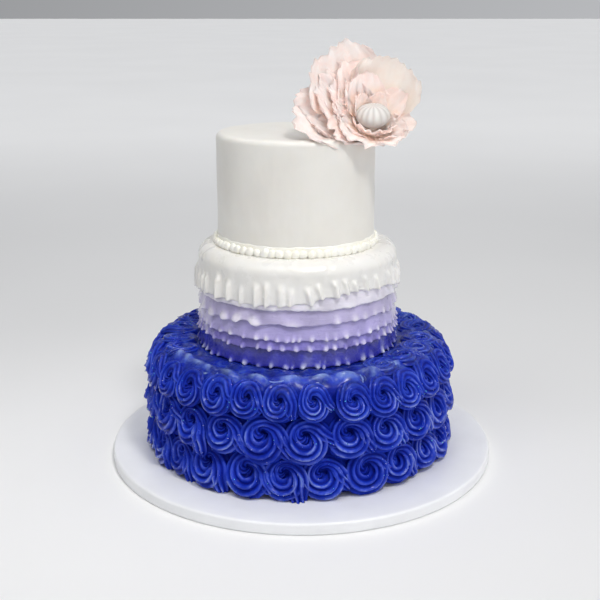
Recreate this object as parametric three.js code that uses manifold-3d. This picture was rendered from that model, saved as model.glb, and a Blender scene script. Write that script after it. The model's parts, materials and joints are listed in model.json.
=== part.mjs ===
// A three-tier wedding cake on a round drum board, in millimetres, +Z up.
// The origin is the centre of the board's underside; -Y is the front, the side the sugar flower leans towards.
//
// From the bottom: a white drum board, a tier piped all over with rosettes, a tier wrapped in five frilled
// strips under a white sheet whose hem hangs in pleats, a plain white tier with a row of piped beads round
// its foot, and an open sugar peony at the front right of the top.
import * as THREE from "three";
import { mergeVertices } from "three/addons/utils/BufferGeometryUtils.js";
import Module from "manifold-3d";

// ---------------------------------------------------------------- driving dimensions
const BOARD_R = 203.2; // a 16 inch drum
const BOARD_T = 12;
const BOARD_EDGE = 1.5;

const LOW_WALL_R = 148; // the lowest tier's wall under its piping
const LOW_H = 112; // and its height above the board
const LOW_FILLET = 9;
const LOW_SEAT_R = 107; // flat seat of the tier above
const LOW_COAT = 2.5; // thin icing between the rosettes
const LOW_X = -2.5; // the tiers stand a little off the board's centre

const MID_Z = BOARD_T + LOW_H; // the middle tier's foot
const MID_R = 99.5;
const MID_X = -4;
const MID_TOP = 227; // its top, under the white sheet
const MID_FILLET = 9;

const SHEET_TOP = 231; // upper face of the white sheet
const SHEET_R = 103.2;
const SHEET_HEM = 192.5;
const SHEET_PLEATS = 26;
const SHEET_FLARE = 2.6;

const STRIP_IN = 99.8; // inner face of the frilled strips
const STRIP_BODY = 1.2;
const STRIP_FLARE = 4.4;
const STRIP_FRILL = 1.1;
const STRIP_HEMS = [126.5, 144, 153.5, 169.3, 184]; // from the lowest strip up
const STRIP_NAMES = ["strip_indigo", "strip_purple", "strip_lavender", "strip_lilac", "strip_pale_lilac"];
const STRIP_COLOURS = [0x2f2a86, 0x7a63ae, 0xa394c9, 0xb3a8d2, 0xd3cee2];
const STRIP_SEGMENTS = 46;

const TOP_R = 80.5;
const TOP_X = -5.5;
const TOP_Z = 343;
const TOP_FILLET = 5.5;

const BEADS = 67;
const BEAD_RING_R = 83.6;
const BEAD_R = 2.8;
const BEAD_H = 8;

// ---------------------------------------------------------------- small helpers
const { sin, cos, abs, min, max, sqrt, PI } = Math;
const rad = (d) => (d * PI) / 180;
const mix = (a, b, t) => a + (b - a) * t;
const unit = (t) => min(1, max(0, t));
// a repeatable number from 0 to 1
const chance = (i, j) => {
  const s = sin(i * 127.1 + j * 311.7) * 43758.5453;
  return s - Math.floor(s);
};

// A turned solid: profile points are [radius, height], angle 0 is the front and grows towards +X.
function turned(profile, segments, move) {
  const g = new THREE.LatheGeometry(profile.map(([r, z]) => new THREE.Vector2(r, z)), segments);
  g.rotateX(PI / 2);
  if (move) {
    const p = g.attributes.position;
    const rows = profile.length;
    for (let i = 0; i < p.count; i++) {
      const column = Math.floor(i / rows) % segments;
      const [r, z] = move((column / segments) * 2 * PI, i % rows, profile[i % rows]);
      const a = (column / segments) * 2 * PI;
      p.setXYZ(i, r * sin(a), -r * cos(a), z);
    }
  }
  return g;
}

// The quarter turn of a rounded edge from the wall (r, z - f) to the top (r - f, z).
const rounded = (r, z, f, steps) =>
  Array.from({ length: steps + 1 }, (_, i) => {
    const a = (i / steps) * (PI / 2);
    return [r - f + f * cos(a), z - f + f * sin(a)];
  });

const material = (color, roughness) => new THREE.MeshStandardMaterial({ color, roughness, metalness: 0 });

const cake = new THREE.Group();
function add(name, geometry, mat) {
  const mesh = new THREE.Mesh(geometry, mat);
  mesh.name = name;
  cake.add(mesh);
  return mesh;
}

// ---------------------------------------------------------------- board
add(
  "board",
  turned(
    [
      [0, 0],
      [BOARD_R - BOARD_EDGE, 0],
      [BOARD_R, BOARD_EDGE],
      [BOARD_R, BOARD_T - BOARD_EDGE],
      [BOARD_R - BOARD_EDGE, BOARD_T],
      [0, BOARD_T],
    ],
    48,
  ),
  material(0xdfe1e8, 0.4),
);

// ---------------------------------------------------------------- the rosettes
// Rows run round the tier, s is the distance up the wall, round the edge and in over the top.
const WALL_S = LOW_H - LOW_FILLET;
const EDGE_S = WALL_S + (LOW_FILLET * PI) / 2;
const ROWS = [
  { n: 25, phase: -4.7, s: 27, R: 22.5, lift: 0 },
  { n: 24, phase: 7.5, s: 129.5, R: 17.5, lift: -2.5 }, // on the ledge
  { n: 24, phase: 2.8, s: 62, R: 22.5, lift: 1.4 },
  { n: 29, phase: -6.2, s: 98.5, R: 20, lift: 2.2 },
];
const ROSETTES = ROWS.flatMap((row, j) =>
  Array.from({ length: row.n }, (_, i) => ({
    a: rad(row.phase + (360 / row.n) * (i + 0.1 * (chance(i, j) - 0.5))),
    s: row.s + 3 * (chance(i, j + 10) - 0.5),
    R: row.R * (1 + 0.06 * (chance(i, j + 20) - 0.5)),
    end: rad(-62 + 44 * (chance(i, j + 30) - 0.5)), // where the rope's tail stops
    lift: row.lift + 0.8 * (chance(i, j + 40) - 0.5),
  })),
);
const TURNS = 1.75 * 2 * PI;

// Height of one piped rosette: a rope that winds outwards clockwise from its middle.
function rosetteHeight(u, v, { R, end, lift }) {
  const rho = sqrt(u * u + v * v);
  if (rho > 1.12 * R) return -1;
  let psi = (Math.atan2(v, u) - end) % (2 * PI);
  if (psi < 0) psi += 2 * PI;
  let best = -1;
  for (let pass = 0; pass < 2; pass++) {
    const phi = TURNS - psi - pass * 2 * PI;
    if (phi < 0) continue;
    const t = phi / TURNS;
    const path = 0.62 * R * t ** 0.85;
    const w = R * (0.14 + 0.29 * t ** 0.7);
    const x = rho - path;
    if (abs(x) < w) best = max(best, lift + 1.12 * sqrt(w * w - x * x));
  }
  return best;
}

// The wall's point and outward normal at distance s.
function wallAt(s) {
  if (s <= WALL_S) return [LOW_WALL_R, s, 1, 0];
  if (s < EDGE_S) {
    const a = (s - WALL_S) / LOW_FILLET;
    return [LOW_WALL_R - LOW_FILLET * (1 - cos(a)), WALL_S + LOW_FILLET * sin(a), cos(a), sin(a)];
  }
  return [LOW_WALL_R - LOW_FILLET - (s - EDGE_S), LOW_H, 0, 1];
}

function relief(a, s) {
  const [r] = wallAt(s);
  let h = LOW_COAT;
  for (const q of ROSETTES) {
    const v = s - q.s;
    if (abs(v) > 26) continue;
    let da = a - q.a;
    da -= 2 * PI * Math.round(da / (2 * PI));
    const u = da * (0.5 * (r + wallAt(q.s)[0]) + 6);
    if (abs(u) > 26) continue;
    h = max(h, rosetteHeight(u, v, q));
  }
  return h;
}

const LEDGE_END = EDGE_S + (LOW_WALL_R - LOW_FILLET - LOW_SEAT_R) - 2;
const GIRTH = LOW_WALL_R + 8; // radius at which the unrolled surface keeps its true width

// Where the surface is sampled: on each rope's crest, in the groove between its turns, in the
// hollow at its middle and in the valleys round it, and nowhere closer than a rope's thickness.
const samples = [];
function sample(a, s, apart) {
  a = ((a % (2 * PI)) + 2 * PI) % (2 * PI);
  if (s < 4 || s > LEDGE_END - 4) return;
  for (const q of samples) {
    let da = abs(q.a - a);
    da = min(da, 2 * PI - da) * GIRTH;
    if (da < apart && abs(q.s - s) < apart && Math.hypot(da, q.s - s) < apart) return;
  }
  samples.push({ a, s, h: relief(a, s) });
}
const RIM_COLUMNS = 64;
for (let i = 0; i < RIM_COLUMNS; i++) {
  const a = (i / RIM_COLUMNS) * 2 * PI;
  samples.push({ a, s: 0, h: relief(a, 0) });
  samples.push({ a, s: LEDGE_END, h: 0.5 * relief(a, LEDGE_END) });
}
const onRosette = (q, rho, direction) => {
  const r = 0.5 * (wallAt(q.s)[0] + wallAt(q.s + rho * sin(direction))[0]) + 6;
  return [q.a + (rho * cos(direction)) / r, q.s + rho * sin(direction)];
};
for (const q of ROSETTES) sample(...onRosette(q, 0, 0), 6);
for (const q of ROSETTES) {
  // the lowest place on each ray between this rosette and the next
  for (let k = 0; k < 10; k++) {
    const places = Array.from({ length: 9 }, (_, i) => onRosette(q, q.R * (0.75 + 0.05 * i), (k / 10) * 2 * PI));
    const [a, s] = places.reduce((p, c) => (relief(...c) < relief(...p) ? c : p));
    sample(a, s, 8.5);
  }
}
for (const q of ROSETTES) {
  for (let k = 0; k < 8; k++) {
    const phi = TURNS - (k / 8) * 2 * PI;
    const [a, s] = onRosette(q, 0.62 * q.R * (phi / TURNS) ** 0.85, q.end - phi + TURNS);
    if (relief(a, s) <= rosetteHeight(...unrolled(a, s, q), q) + 0.2) sample(a, s, 6.3);
  }
}

function unrolled(a, s, q) {
  let da = a - q.a;
  da -= 2 * PI * Math.round(da / (2 * PI));
  return [da * (0.5 * (wallAt(s)[0] + wallAt(q.s)[0]) + 6), s - q.s];
}

// Delaunay triangles of points in a plane, by inserting them one at a time.
function delaunay(points) {
  const n = points.length;
  const all = [...points, [-1e5, -1e5], [1e5, -1e5], [0, 1e5]];
  const circle = (t) => {
    const [[ax, ay], [bx, by], [cx, cy]] = t.map((i) => all[i]);
    const d = 2 * (ax * (by - cy) + bx * (cy - ay) + cx * (ay - by));
    const [a2, b2, c2] = [ax * ax + ay * ay, bx * bx + by * by, cx * cx + cy * cy];
    const x = (a2 * (by - cy) + b2 * (cy - ay) + c2 * (ay - by)) / d;
    const y = (a2 * (cx - bx) + b2 * (ax - cx) + c2 * (bx - ax)) / d;
    return { t, x, y, r2: (ax - x) ** 2 + (ay - y) ** 2 };
  };
  const order = points.map((_, i) => i).sort((i, j) => points[i][0] - points[j][0]);
  let open = [circle([n, n + 1, n + 2])];
  const closed = [];
  for (const i of order) {
    const [x, y] = all[i];
    const edges = new Map();
    const keep = [];
    for (const c of open) {
      if (x - c.x > 0 && (x - c.x) ** 2 > c.r2) closed.push(c.t);
      else if ((x - c.x) ** 2 + (y - c.y) ** 2 < c.r2) {
        for (let k = 0; k < 3; k++) {
          const [u, v] = [c.t[k], c.t[(k + 1) % 3]];
          const back = `${v},${u}`;
          if (edges.has(back)) edges.delete(back);
          else edges.set(`${u},${v}`, [u, v]);
        }
      } else keep.push(c);
    }
    for (const [u, v] of edges.values()) keep.push(circle([u, v, i]));
    open = keep;
  }
  return [...closed, ...open.map((c) => c.t)].filter((t) => t.every((i) => i < n));
}

// The surface is unrolled, with a margin repeated at both ends, and the middle turn's triangles are kept.
function pipedSurface() {
  const sorted = samples.slice().sort((p, q) => p.a - q.a);
  const n = sorted.length;
  const turn = 2 * PI * GIRTH;
  const margin = 120;
  const flat = [];
  for (const shift of [0, -1, 1]) {
    sorted.forEach((q, i) => {
      const x = q.a * GIRTH + shift * turn;
      if (x > -margin && x < turn + margin) flat.push([x, q.s, i]);
    });
  }
  // a slight shear keeps evenly spaced points off common circles
  const triangles = delaunay(flat.map(([x, s]) => [x + s * 0.013, s]));
  const index = [];
  for (const t of triangles) {
    const x = (flat[t[0]][0] + flat[t[1]][0] + flat[t[2]][0]) / 3;
    if (x < 0 || x >= turn) continue;
    const ss = t.map((i) => flat[i][1]);
    if (max(...ss) === 0 || min(...ss) === LEDGE_END) continue;
    index.push(t.map((i) => flat[i][2]));
  }
  const at = sorted.map(({ a, s, h }) => {
    const [r, z, nr, nz] = wallAt(s);
    return [(r + nr * h) * sin(a), -(r + nr * h) * cos(a), BOARD_T + z + nz * h];
  });
  const ring = (s) => sorted.map((q, i) => [q, i]).filter(([q]) => q.s === s).map(([, i]) => i);
  const foot = ring(0);
  const head = ring(LEDGE_END);
  const seat = head.map((i) => at.push([LOW_SEAT_R * sin(sorted[i].a), -LOW_SEAT_R * cos(sorted[i].a), MID_Z]) - 1);
  const under = at.push([0, 0, BOARD_T]) - 1;
  const over = at.push([0, 0, MID_Z]) - 1;
  for (let i = 0; i < RIM_COLUMNS; i++) {
    const j = (i + 1) % RIM_COLUMNS;
    index.push([under, foot[j], foot[i]]);
    index.push([head[i], head[j], seat[j]], [head[i], seat[j], seat[i]]);
    index.push([over, seat[i], seat[j]]);
  }
  const g = new THREE.BufferGeometry();
  g.setAttribute("position", new THREE.Float32BufferAttribute(at.flat(), 3));
  g.setIndex(index.flat());
  return g;
}
add("bottom_tier", pipedSurface(), material(0x1f1f9a, 0.35)).position.x = LOW_X;

// ---------------------------------------------------------------- middle tier and its strips
add(
  "middle_tier",
  turned([[0, MID_Z], [MID_R, MID_Z], ...rounded(MID_R, MID_TOP, MID_FILLET, 1), [0, MID_TOP]], 40),
  material(0xd3cee2, 0.5),
).position.x = MID_X;

// Each strip is thin at the top, where it goes in under the next, and stands out at its frilled hem.
STRIP_NAMES.forEach((name, j) => {
  const hem = STRIP_HEMS[j];
  const top = (STRIP_HEMS[j + 1] ?? SHEET_HEM + 5) + 0.4;
  add(
    name,
    turned(
      [
        [STRIP_IN, hem + 1.4],
        [STRIP_IN + STRIP_FLARE, hem],
        [STRIP_IN + STRIP_BODY, top],
        [STRIP_IN, hem + 1.4],
      ],
      STRIP_SEGMENTS,
      (a, row, [r, z]) => {
        if (row !== 1) return [r, z];
        const i = Math.round((a / (2 * PI)) * STRIP_SEGMENTS);
        return [r + STRIP_FRILL * (i % 2 ? 1 : -1) * mix(0.5, 1, chance(i, j + 50)), z + 0.5 * (chance(i, j + 60) - 0.5)];
      },
    ),
    material(STRIP_COLOURS[j], 0.35),
  ).position.x = MID_X;
});

// The white sheet lies over the top of the middle tier and hangs past its edge in pleats.
const sheetProfile = [
  [0, MID_TOP + 0.4],
  ...rounded(MID_R + 0.4, MID_TOP + 0.4, MID_FILLET, 1).reverse(),
  [MID_R + 3.6, SHEET_HEM + 2.4],
  [SHEET_R + 1.4, SHEET_HEM],
  [SHEET_R + 0.8, mix(SHEET_HEM, SHEET_TOP, 0.4)],
  [SHEET_R - 0.6, SHEET_TOP - 10],
  [SHEET_R - 3.6, SHEET_TOP - 3.4],
  [SHEET_R - 11, SHEET_TOP],
  [0, SHEET_TOP],
];
add(
  "white_sheet",
  turned(sheetProfile, 2 * SHEET_PLEATS, (a, row, [r, z]) => {
    const i = Math.round((a / (2 * PI)) * 2 * SHEET_PLEATS);
    const deep = { 4: 1, 5: 0.45 }[row] ?? 0;
    const fold = (i % 2 ? 1 : -0.2) * mix(0.4, 1, chance(i >> 1, 70));
    return [r + SHEET_FLARE * fold * deep, z + (row === 4 ? 4.5 * (chance(i >> 2, 71) - 0.5) : 0)];
  }),
  material(0xf2f1ee, 0.35),
).position.x = MID_X;

// ---------------------------------------------------------------- top tier and its beads
add(
  "top_tier",
  turned([[0, SHEET_TOP], [TOP_R, SHEET_TOP], ...rounded(TOP_R, TOP_Z, TOP_FILLET, 2), [0, TOP_Z]], 44),
  material(0xf0eeea, 0.4),
).position.x = TOP_X;

add(
  "bead_border",
  turned(
    [
      [BEAD_RING_R - BEAD_R, SHEET_TOP],
      [BEAD_RING_R + BEAD_R, SHEET_TOP + 0.35 * BEAD_H],
      [BEAD_RING_R - 0.4 * BEAD_R, SHEET_TOP + BEAD_H],
      [BEAD_RING_R - BEAD_R, SHEET_TOP],
    ],
    2 * BEADS,
    (a, row, [r, z]) => {
      const i = Math.round((a / (2 * PI)) * 2 * BEADS);
      return i % 2 ? [mix(r, BEAD_RING_R - BEAD_R, 0.35), SHEET_TOP + (z - SHEET_TOP) * 0.72] : [r, z];
    },
  ),
  material(0xf5f0de, 0.3),
).position.x = TOP_X;

// ---------------------------------------------------------------- the sugar peony
// The flower's own frame: +Z is its axis, -Y its front. It lies on the edge of the top tier.
const FLOWER_AT = new THREE.Vector3(67, -24, TOP_Z + 10);
const FLOWER_LEAN = 50; // degrees from upright, towards the front
const FLOWER_YAW = 14; // and the front turned this much to the right
const PETAL_T = 1.5;
// az: direction round the axis (0 is the right, 90 the back, 270 the front); open0, open1: degrees off
// the axis at the foot and at the lip; cup: how far the petal's edges curl in; r0, z0: where its foot is stuck on.
const PETALS = [
  { name: "petal_small_left", az: 128, L: 31, W: 22, open0: 40, open1: 6, cup: 1.0, r0: 8.5, z0: -2, frill: 0.5 },
  { name: "petal_small_right", az: 64, L: 30, W: 22, open0: 42, open1: 2, cup: 1.0, r0: 8.5, z0: -2.5, frill: 0.5 },
  { name: "petal_inner_back", az: 102, L: 53, W: 46, open0: 42, open1: 16, cup: 0.8, r0: 8, z0: -4, frill: 1.2 },
  { name: "petal_inner_left", az: 170, L: 46, W: 32, open0: 52, open1: 28, cup: 0.8, r0: 8, z0: -5, frill: 1.0 },
  { name: "petal_inner_right", az: 32, L: 44, W: 32, open0: 54, open1: 32, cup: 0.8, r0: 8, z0: -6, frill: 1.0 },
  { name: "petal_left", az: 151, L: 74, W: 54, open0: 54, open1: 34, cup: 0.8, r0: 8, z0: -8, frill: 1.8 },
  { name: "petal_back_right", az: 60, L: 72, W: 80, open0: 58, open1: 22, cup: 0.9, r0: 8, z0: -9.5, frill: 1.6 },
  { name: "petal_front_right", az: 304, L: 42, W: 46, open0: 60, open1: 40, cup: 0.6, r0: 8, z0: -4, frill: 1.2 },
  { name: "petal_back_left", az: 121, L: 87, W: 88, open0: 64, open1: 34, cup: 0.6, r0: 8, z0: -13, frill: 2.2 },
  { name: "petal_right", az: 348, L: 46, W: 46, open0: 72, open1: 46, cup: 0.8, r0: 8, z0: -8, frill: 1.2 },
  { name: "petal_front_left", az: 228, L: 47, W: 52, open0: 60, open1: 46, cup: 0.5, r0: 8, z0: -7, frill: 1.4 },
  { name: "petal_far_left", az: 184, L: 87, W: 68, open0: 66, open1: 54, cup: 0.7, r0: 8, z0: -14, frill: 1.8 },
];

// A point of a petal: u from foot to lip, w from edge to edge, t through its thickness.
function petalPoint(q, u, w, t, k) {
  const o0 = rad(q.open0);
  const bend = rad(q.open1 - q.open0);
  const along = u * (1 - 0.3 * w * w * u);
  const d = o0 + bend * along;
  const reach = abs(bend) < 1e-3 ? sin(o0) * along : (cos(o0) - cos(d)) / bend;
  const rise = abs(bend) < 1e-3 ? cos(o0) * along : (sin(d) - sin(o0)) / bend;
  const half = (q.W / 2) * mix(0.2, 1, sin(rad(118) * u) ** 0.9);
  const x = half * sin(w * rad(78)) / sin(rad(78));
  // towards the flower's axis
  const nr = -cos(d);
  const nz = sin(d);
  const cup = q.cup * (x * x) / q.W * mix(0.6, 1, u);
  const edge = unit(max(u ** 3, abs(w) ** 4 * u));
  const frill = q.frill * edge * sin(w * 7.5 + k * 1.7 + u * 2);
  const off = cup + frill + t;
  const r = q.r0 + q.L * reach + nr * off;
  const z = q.z0 + q.L * rise + nz * off;
  const a = rad(q.az);
  return new THREE.Vector3(r * cos(a) - x * sin(a), r * sin(a) + x * cos(a), z);
}

function petalGeometry(q, k, thick, grow) {
  const g = new THREE.BoxGeometry(2, 2, 2, q.L > 60 ? 6 : 5, q.L > 60 ? 5 : 4, 1);
  g.deleteAttribute("normal");
  g.deleteAttribute("uv");
  const p = g.attributes.position;
  for (let i = 0; i < p.count; i++) {
    const w = -p.getX(i) * (1 + grow);
    const u = (p.getY(i) + 1) / 2 * (1 + grow);
    const t = (p.getZ(i) * thick) / 2;
    const v = petalPoint(q, u, w, t, k);
    p.setXYZ(i, v.x, v.y, v.z);
  }
  return g;
}

const BUD_R = 14;
const BUD_H = 27;
const BUD_RIBS = 9;
function budGeometry(grow) {
  const rows = 6;
  const profile = Array.from({ length: rows + 1 }, (_, i) => {
    const a = (i / rows) * PI;
    return [(BUD_R + grow) * sin(a), BUD_H / 2 - (BUD_H / 2 + grow) * cos(a)];
  });
  profile[0][0] = profile[rows][0] = 0;
  return turned(profile, 2 * BUD_RIBS, (a, row, [r, z]) => {
    const i = Math.round((a / (2 * PI)) * 2 * BUD_RIBS);
    return [r * (i % 2 ? 1 : 0.9), z];
  });
}
// The gum-paste foot under the flower that the petals are stuck to.
const footProfile = (grow) => [
  [0, -18 - grow],
  [7 + grow, -16 - grow],
  [9.5 + grow, -10],
  [9.5 + grow, -3],
  [8 + grow, grow],
  [0, grow],
];

const wasm = await Module();
wasm.setup();
function solid(geometry) {
  const plain = geometry.index ? geometry.toNonIndexed() : geometry.clone();
  const only = new THREE.BufferGeometry().setAttribute("position", plain.getAttribute("position"));
  const merged = mergeVertices(only, 1e-3);
  return new wasm.Manifold(
    new wasm.Mesh({
      numProp: 3,
      vertProperties: merged.attributes.position.array,
      triVerts: new Uint32Array(merged.index.array),
    }),
  );
}
function geometryOf(manifold) {
  const m = manifold.getMesh();
  const v = new Float32Array(m.numVert * 3);
  for (let i = 0; i < m.numVert; i++) v.set(m.vertProperties.subarray(i * m.numProp, i * m.numProp + 3), i * 3);
  return new THREE.BufferGeometry()
    .setAttribute("position", new THREE.BufferAttribute(v, 3))
    .setIndex(new THREE.BufferAttribute(m.triVerts, 1));
}
const largest = (m) => m.decompose().reduce((a, b) => (b.volume() > a.volume() ? b : a));

// Where the flower stands: its axis leans to the front and a little to the right.
const stand = new THREE.Matrix4()
  .makeTranslation(FLOWER_AT)
  .multiply(new THREE.Matrix4().makeRotationZ(rad(FLOWER_YAW)))
  .multiply(new THREE.Matrix4().makeRotationX(rad(FLOWER_LEAN)));

// Everything that a flower piece must stay clear of, a little larger than it is.
const GAP = 0.45;
let taken = solid(
  turned([[0, SHEET_TOP], [TOP_R + GAP, SHEET_TOP], ...rounded(TOP_R + GAP, TOP_Z + GAP, TOP_FILLET, 3), [0, TOP_Z + GAP]], 56).translate(TOP_X, 0, 0),
);
const sugar = material(0xf6e3da, 0.45);
let placed = solid(new THREE.BoxGeometry(1, 1, 1));
function place(name, geometry, around, mat) {
  const cut = largest(solid(geometry.clone().applyMatrix4(stand)).subtract(taken)).simplify(0.2);
  const piece = largest(cut.subtract(placed));
  taken = taken.add(solid(around.clone().applyMatrix4(stand)));
  placed = placed.add(piece);
  add(name, geometryOf(piece), mat);
}
place("flower_foot", turned(footProfile(0), 12), turned(footProfile(GAP), 12), sugar);
const lifted = (g) => g.translate(0, 0, GAP + 0.1);
place("flower_bud", lifted(budGeometry(0)), lifted(budGeometry(GAP)), material(0xe9e8e4, 0.3));
PETALS.forEach((q, k) => {
  place(q.name, petalGeometry(q, k, PETAL_T, 0), petalGeometry(q, k, PETAL_T + 2 * GAP, 0.05), sugar);
});

export default cake;
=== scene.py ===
import json
import math

import bpy
import numpy as np
from mathutils import Matrix, Vector

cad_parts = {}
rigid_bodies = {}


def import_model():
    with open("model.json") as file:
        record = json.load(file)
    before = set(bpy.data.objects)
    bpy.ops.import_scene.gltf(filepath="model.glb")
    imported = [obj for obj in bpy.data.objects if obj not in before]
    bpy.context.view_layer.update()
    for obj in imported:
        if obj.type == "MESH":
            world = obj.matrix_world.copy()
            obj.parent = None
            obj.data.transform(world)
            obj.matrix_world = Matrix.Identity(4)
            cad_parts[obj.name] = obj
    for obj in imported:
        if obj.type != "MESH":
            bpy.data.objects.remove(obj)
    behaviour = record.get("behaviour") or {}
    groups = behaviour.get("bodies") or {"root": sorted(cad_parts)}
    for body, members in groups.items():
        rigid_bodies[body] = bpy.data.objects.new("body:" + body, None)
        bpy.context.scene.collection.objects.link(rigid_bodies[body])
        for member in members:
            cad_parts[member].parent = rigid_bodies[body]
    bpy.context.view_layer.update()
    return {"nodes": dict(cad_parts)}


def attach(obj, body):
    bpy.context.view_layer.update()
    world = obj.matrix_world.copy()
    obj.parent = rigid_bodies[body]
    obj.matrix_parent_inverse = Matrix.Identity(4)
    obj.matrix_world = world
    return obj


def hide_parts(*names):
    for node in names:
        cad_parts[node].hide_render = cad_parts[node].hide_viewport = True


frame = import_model()

# A three-tier wedding cake. Shapes are worked out in millimetres, +Z up, and turned to metres when a mesh is made.
# Angle 0 is the front (-Y) and grows towards +X.
PI = math.pi
BOARD_R, BOARD_T = 203.2, 12.0
LOW_WALL_R, LOW_H, LOW_FILLET, LOW_SEAT_R, LOW_X = 148.0, 112.0, 9.0, 107.0, -2.5
MID_Z, MID_R, MID_X, MID_TOP = 124.0, 99.5, -4.0, 227.0
SHEET_TOP = 231.0
STRIP_IN = 99.8
TOP_R, TOP_X, TOP_Z, TOP_FILLET = 80.5, -5.5, 343.0, 5.5
BEADS = 67
FLOWER_AT, FLOWER_LEAN, FLOWER_YAW = (67.0, -24.0, 353.0), 50.0, 14.0


def rad(d):
    return np.radians(d)


def mix(a, b, t):
    return a + (b - a) * t


def smooth(a, b, x):
    t = np.clip((np.asarray(x, dtype=float) - a) / (b - a), 0, 1)
    return t * t * (3 - 2 * t)


def chance(i, j):
    s = math.sin(i * 127.1 + j * 311.7) * 43758.5453
    return s - math.floor(s)


def wobble(x, y, seed, octaves=4):
    """A smooth uneven field from -1 to 1 or so. x and y are in units of its largest waves."""
    g = np.random.default_rng(seed)
    out = 0.0
    size = 1.0
    for _ in range(octaves):
        for _ in range(3):
            a, p = g.uniform(0, 2 * PI), g.uniform(0, 2 * PI)
            k = size * g.uniform(0.7, 1.4) * 2 * PI
            out = out + np.sin(k * (x * math.cos(a) + y * math.sin(a)) + p) / (3 * size**0.8)
        size *= 2.0
    return out


def round_wobble(a, seed, low, high, count=9):
    """An uneven wave round the cake that closes on itself, from -1 to 1 or so."""
    g = np.random.default_rng(seed)
    out = 0.0
    for _ in range(count):
        out = out + np.sin(int(g.integers(low, high + 1)) * a + g.uniform(0, 2 * PI)) / math.sqrt(count)
    return out


# ---------------------------------------------------------------- meshes
def make(name, verts, quads=(), tris=(), attributes=None, flat=False):
    verts = np.asarray(verts, dtype=float).reshape(-1, 3)
    quads = np.asarray(quads, dtype=np.int64).reshape(-1, 4)
    tris = np.asarray(tris, dtype=np.int64).reshape(-1, 3)
    split = np.vstack([quads[:, [0, 1, 2]], quads[:, [0, 2, 3]], tris])
    a, b, c = (verts[split[:, k]] for k in range(3))
    if np.einsum("ij,ij->i", a, np.cross(b, c)).sum() < 0:
        quads, tris = quads[:, ::-1], tris[:, ::-1]
    me = bpy.data.meshes.new(name)
    me.vertices.add(len(verts))
    me.vertices.foreach_set("co", (verts * 0.001).ravel())
    me.loops.add(quads.size + tris.size)
    me.loops.foreach_set("vertex_index", np.concatenate([quads.ravel(), tris.ravel()]).astype(np.int32))
    me.polygons.add(len(quads) + len(tris))
    starts = np.concatenate([np.arange(len(quads)) * 4, quads.size + np.arange(len(tris)) * 3])
    me.polygons.foreach_set("loop_start", starts.astype(np.int32))
    me.update(calc_edges=True)
    me.polygons.foreach_set("use_smooth", np.full(len(me.polygons), not flat))
    for key, values in (attributes or {}).items():
        at = me.attributes.new(key, "FLOAT", "POINT")
        at.data.foreach_set("value", np.asarray(values, dtype=np.float32).ravel())
    me.validate()
    me.update()
    obj = bpy.data.objects.new(name, me)
    bpy.context.scene.collection.objects.link(obj)
    return obj


def sheet_faces(nu, nv, wrap_u, wrap_v, first=0):
    i = np.arange(nu if wrap_u else nu - 1)
    j = np.arange(nv if wrap_v else nv - 1)
    i, j = [g.ravel() for g in np.meshgrid(i, j, indexing="ij")]
    i1, j1 = (i + 1) % nu, (j + 1) % nv
    return first + np.stack([i * nv + j, i1 * nv + j, i1 * nv + j1, i * nv + j1], 1)


def ring_mesh(name, r, z, a, cx, attributes=None):
    """A closed ring: r and z are columns x profile, and the profile closes on itself."""
    pts = np.stack([r * np.sin(a)[:, None] + cx, -r * np.cos(a)[:, None], z], 2)
    return make(name, pts, sheet_faces(r.shape[0], r.shape[1], True, True), attributes=attributes)


def lathe_mesh(name, r, z, a, cx, attributes=None):
    """A turned solid: the profile runs from the middle of the underside to the middle of the top."""
    nc, nr = r.shape
    pts = np.stack([r * np.sin(a)[:, None] + cx, -r * np.cos(a)[:, None], z], 2).reshape(-1, 3)
    low = len(pts)
    pts = np.vstack([pts, [[cx, 0, z[:, 0].mean()], [cx, 0, z[:, -1].mean()]]])
    i = np.arange(nc)
    j = (i + 1) % nc
    tris = np.vstack([
        np.stack([np.full(nc, low), j * nr, i * nr], 1),
        np.stack([np.full(nc, low + 1), i * nr + nr - 1, j * nr + nr - 1], 1),
    ])
    if attributes:
        attributes = {k: np.append(np.asarray(v).ravel(), [v[:, 0].mean(), v[:, -1].mean()]) for k, v in attributes.items()}
    return make(name, pts, sheet_faces(nc, nr, True, False), tris, attributes)


def turn(n):
    return np.arange(n) / n * 2 * PI


def joined(parts):
    """Puts (verts, quads, tris, attributes) pieces into one."""
    verts, quads, tris, values, first = [], [], [], {}, 0
    for v, q, t, at in parts:
        verts.append(v)
        quads.append(np.asarray(q, dtype=np.int64).reshape(-1, 4) + first)
        tris.append(np.asarray(t, dtype=np.int64).reshape(-1, 3) + first)
        for k, x in at.items():
            values.setdefault(k, []).append(x)
        first += len(v)
    return np.vstack(verts), np.vstack(quads), np.vstack(tris), {k: np.concatenate(x) for k, x in values.items()}


# ---------------------------------------------------------------- materials
def srgb(r, g, b):
    f = lambda c: c / 12.92 if c <= 0.04045 else ((c + 0.055) / 1.055) ** 2.4
    return (f(r / 255), f(g / 255), f(b / 255), 1.0)


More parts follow.
